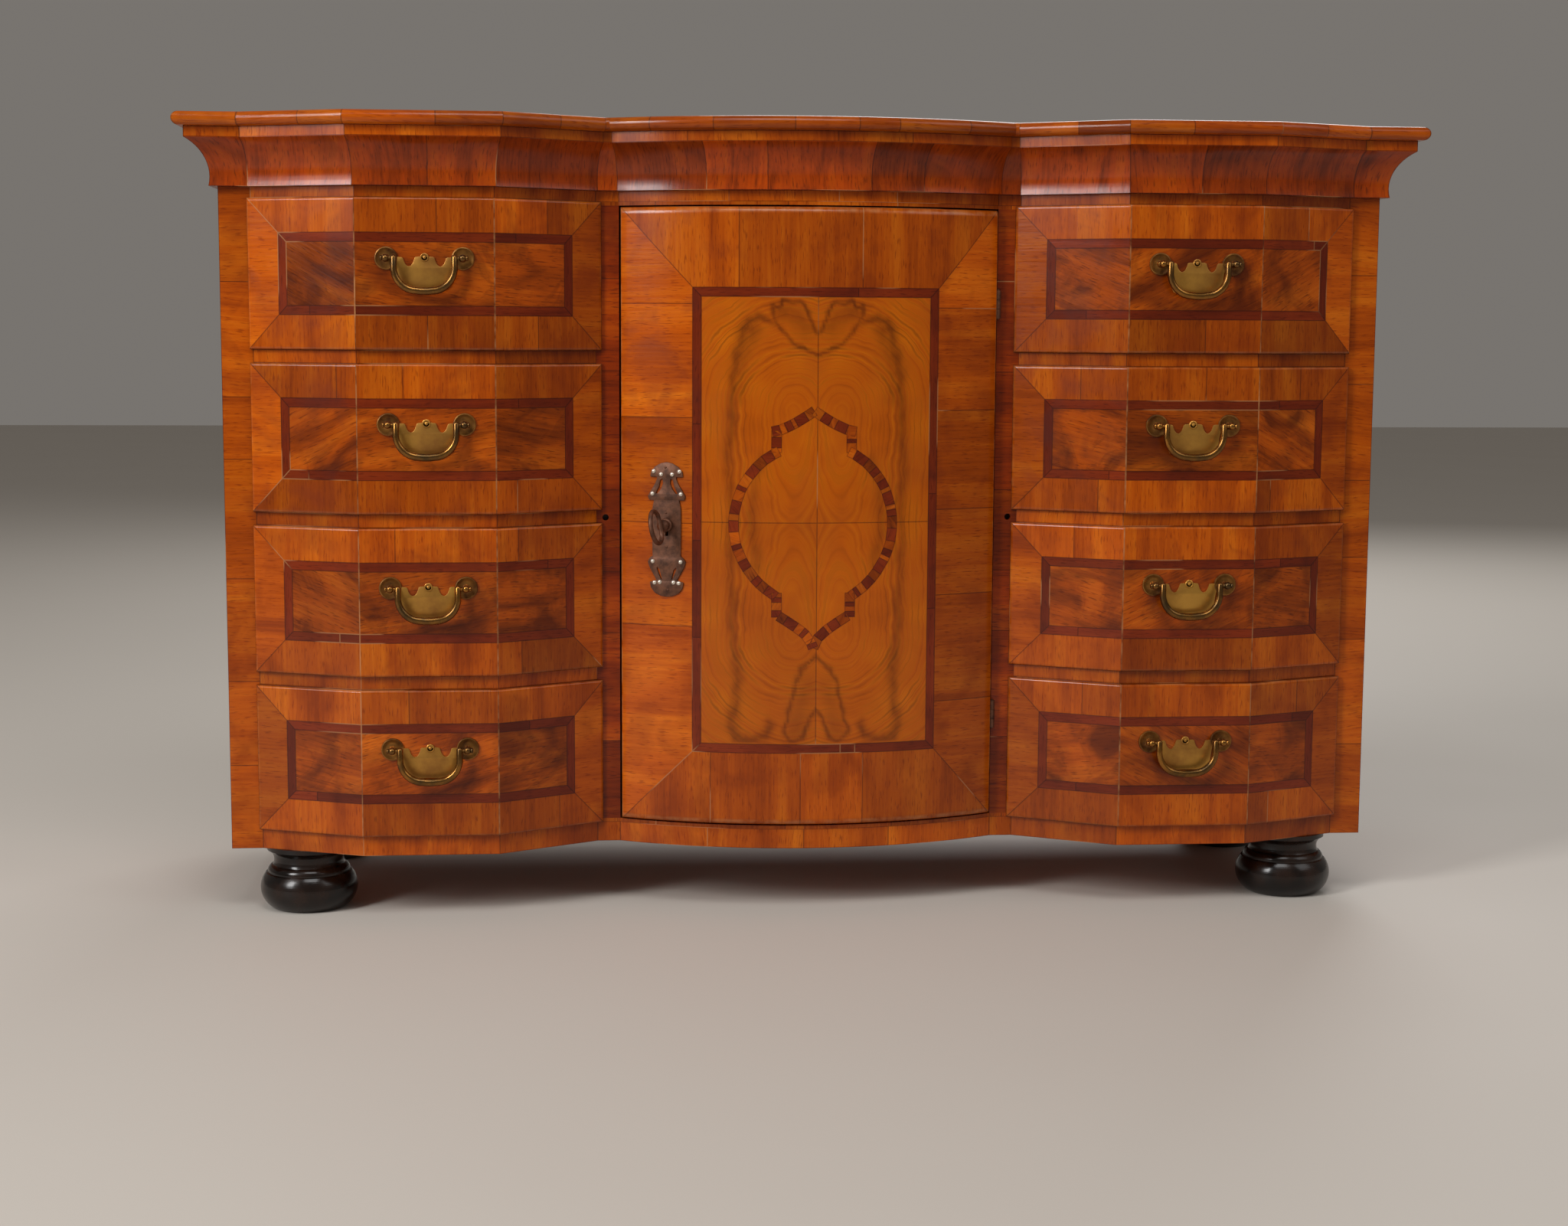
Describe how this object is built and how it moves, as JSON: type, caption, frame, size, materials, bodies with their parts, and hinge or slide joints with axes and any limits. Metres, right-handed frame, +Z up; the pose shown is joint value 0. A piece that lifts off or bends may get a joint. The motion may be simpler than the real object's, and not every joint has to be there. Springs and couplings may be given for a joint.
{
  "type": "table cabinet",
  "caption": "Walnut-veneered table cabinet with a bowed locking door between banks of canted drawers, brass bail handles, a coved cornice and ebonised bun feet.",
  "frame": {"origin": "middle of the overall footprint, on the floor under the feet", "axes": "+Z up, +X to the right seen from the front, front towards -Y"},
  "size_m": [0.9588, 0.3284, 0.6122],
  "materials": {
    "walnut_veneer": "french polished walnut veneer",
    "walnut_and_softwood": "softwood with veneered front edges",
    "softwood": "plain aged softwood",
    "ebonised_wood": "glossy black polish",
    "aged_brass": "dull old brass",
    "wrought_iron": "browned iron"
  },
  "bodies": {
    "carcass": {"back_panel": "softwood", "bottom_board": "walnut_veneer", "cornice_back_rail": "softwood", "cornice_front": "walnut_veneer", "cornice_return_left": "walnut_veneer", "cornice_return_right": "walnut_veneer", "dust_boards_left": "walnut_and_softwood", "dust_boards_right": "walnut_and_softwood", "foot_front_left": "ebonised_wood", "foot_front_right": "ebonised_wood", "foot_rear_left": "ebonised_wood", "foot_rear_right": "ebonised_wood", "hinge_leaves_fixed": "wrought_iron", "hinge_pins": "wrought_iron", "partition_left": "walnut_and_softwood", "partition_right": "walnut_and_softwood", "side_left": "walnut_veneer", "side_right": "walnut_veneer", "top_board": "walnut_veneer", "top_nosing": "walnut_veneer", "upper_board": "walnut_veneer"},
    "door": {"door_panel": "walnut_veneer", "hinge_leaves_door": "wrought_iron", "escutcheon": "wrought_iron", "escutcheon_studs": "wrought_iron", "lock_case": "wrought_iron"},
    "lock_bolt": {"lock_bolt": "wrought_iron"},
    "key": {"key": "wrought_iron"},
    "drawer_left_1": {"drawer_left_1_front": "walnut_veneer", "drawer_left_1_box": "softwood", "handle_plate_left_1": "aged_brass"},
    "bail_left_1": {"bail_left_1": "aged_brass"},
    "drawer_left_2": {"drawer_left_2_front": "walnut_veneer", "drawer_left_2_box": "softwood", "handle_plate_left_2": "aged_brass"},
    "bail_left_2": {"bail_left_2": "aged_brass"},
    "drawer_left_3": {"drawer_left_3_front": "walnut_veneer", "drawer_left_3_box": "softwood", "handle_plate_left_3": "aged_brass"},
    "bail_left_3": {"bail_left_3": "aged_brass"},
    "drawer_left_4": {"drawer_left_4_front": "walnut_veneer", "drawer_left_4_box": "softwood", "handle_plate_left_4": "aged_brass"},
    "bail_left_4": {"bail_left_4": "aged_brass"},
    "drawer_right_1": {"drawer_right_1_front": "walnut_veneer", "drawer_right_1_box": "softwood", "handle_plate_right_1": "aged_brass"},
    "bail_right_1": {"bail_right_1": "aged_brass"},
    "drawer_right_2": {"drawer_right_2_front": "walnut_veneer", "drawer_right_2_box": "softwood", "handle_plate_right_2": "aged_brass"},
    "bail_right_2": {"bail_right_2": "aged_brass"},
    "drawer_right_3": {"drawer_right_3_front": "walnut_veneer", "drawer_right_3_box": "softwood", "handle_plate_right_3": "aged_brass"},
    "bail_right_3": {"bail_right_3": "aged_brass"},
    "drawer_right_4": {"drawer_right_4_front": "walnut_veneer", "drawer_right_4_box": "softwood", "handle_plate_right_4": "aged_brass"},
    "bail_right_4": {"bail_right_4": "aged_brass"}
  },
  "joints": [
    {"name": "door_hinge", "type": "hinge", "parent": "carcass", "child": "door", "pos_m": [0.148, -0.0936, 0.311], "axis": [0, 0, 1], "range_deg": [0, 75]},
    {"name": "key_turn", "type": "hinge", "parent": "door", "child": "key", "pos_m": [-0.112, -0.11363, 0.303], "axis": [0.3729, 0.9279, 0], "range_deg": [0, 360]},
    {"name": "bolt_slide", "type": "slide", "parent": "door", "child": "lock_bolt", "axis": [-0.9279, 0.3729, 0], "range_m": [0, 0.009]},
    {"name": "drawer_left_1_slide", "type": "slide", "parent": "carcass", "child": "drawer_left_1", "axis": [0, -1, 0], "range_m": [0, 0.18]},
    {"name": "bail_left_1_swing", "type": "hinge", "parent": "drawer_left_1", "child": "bail_left_1", "pos_m": [-0.294, -0.1493, 0.5049], "axis": [-1, 0, 0], "range_deg": [0, 90]},
    {"name": "drawer_left_2_slide", "type": "slide", "parent": "carcass", "child": "drawer_left_2", "axis": [0, -1, 0], "range_m": [0, 0.18]},
    {"name": "bail_left_2_swing", "type": "hinge", "parent": "drawer_left_2", "child": "bail_left_2", "pos_m": [-0.294, -0.1493, 0.3812], "axis": [-1, 0, 0], "range_deg": [0, 90]},
    {"name": "drawer_left_3_slide", "type": "slide", "parent": "carcass", "child": "drawer_left_3", "axis": [0, -1, 0], "range_m": [0, 0.18]},
    {"name": "bail_left_3_swing", "type": "hinge", "parent": "drawer_left_3", "child": "bail_left_3", "pos_m": [-0.294, -0.1493, 0.2575], "axis": [-1, 0, 0], "range_deg": [0, 90]},
    {"name": "drawer_left_4_slide", "type": "slide", "parent": "carcass", "child": "drawer_left_4", "axis": [0, -1, 0], "range_m": [0, 0.18]},
    {"name": "bail_left_4_swing", "type": "hinge", "parent": "drawer_left_4", "child": "bail_left_4", "pos_m": [-0.294, -0.1493, 0.1338], "axis": [-1, 0, 0], "range_deg": [0, 90]},
    {"name": "drawer_right_1_slide", "type": "slide", "parent": "carcass", "child": "drawer_right_1", "axis": [0, -1, 0], "range_m": [0, 0.18]},
    {"name": "bail_right_1_swing", "type": "hinge", "parent": "drawer_right_1", "child": "bail_right_1", "pos_m": [0.294, -0.1493, 0.5049], "axis": [-1, 0, 0], "range_deg": [0, 90]},
    {"name": "drawer_right_2_slide", "type": "slide", "parent": "carcass", "child": "drawer_right_2", "axis": [0, -1, 0], "range_m": [0, 0.18]},
    {"name": "bail_right_2_swing", "type": "hinge", "parent": "drawer_right_2", "child": "bail_right_2", "pos_m": [0.294, -0.1493, 0.3812], "axis": [-1, 0, 0], "range_deg": [0, 90]},
    {"name": "drawer_right_3_slide", "type": "slide", "parent": "carcass", "child": "drawer_right_3", "axis": [0, -1, 0], "range_m": [0, 0.18]},
    {"name": "bail_right_3_swing", "type": "hinge", "parent": "drawer_right_3", "child": "bail_right_3", "pos_m": [0.294, -0.1493, 0.2575], "axis": [-1, 0, 0], "range_deg": [0, 90]},
    {"name": "drawer_right_4_slide", "type": "slide", "parent": "carcass", "child": "drawer_right_4", "axis": [0, -1, 0], "range_m": [0, 0.18]},
    {"name": "bail_right_4_swing", "type": "hinge", "parent": "drawer_right_4", "child": "bail_right_4", "pos_m": [0.294, -0.1493, 0.1338], "axis": [-1, 0, 0], "range_deg": [0, 90]}
  ],
  "couplings": [
    {"joint": "bolt_slide", "follows": "key_turn", "m_per_rad": 0.0014324}
  ]
}
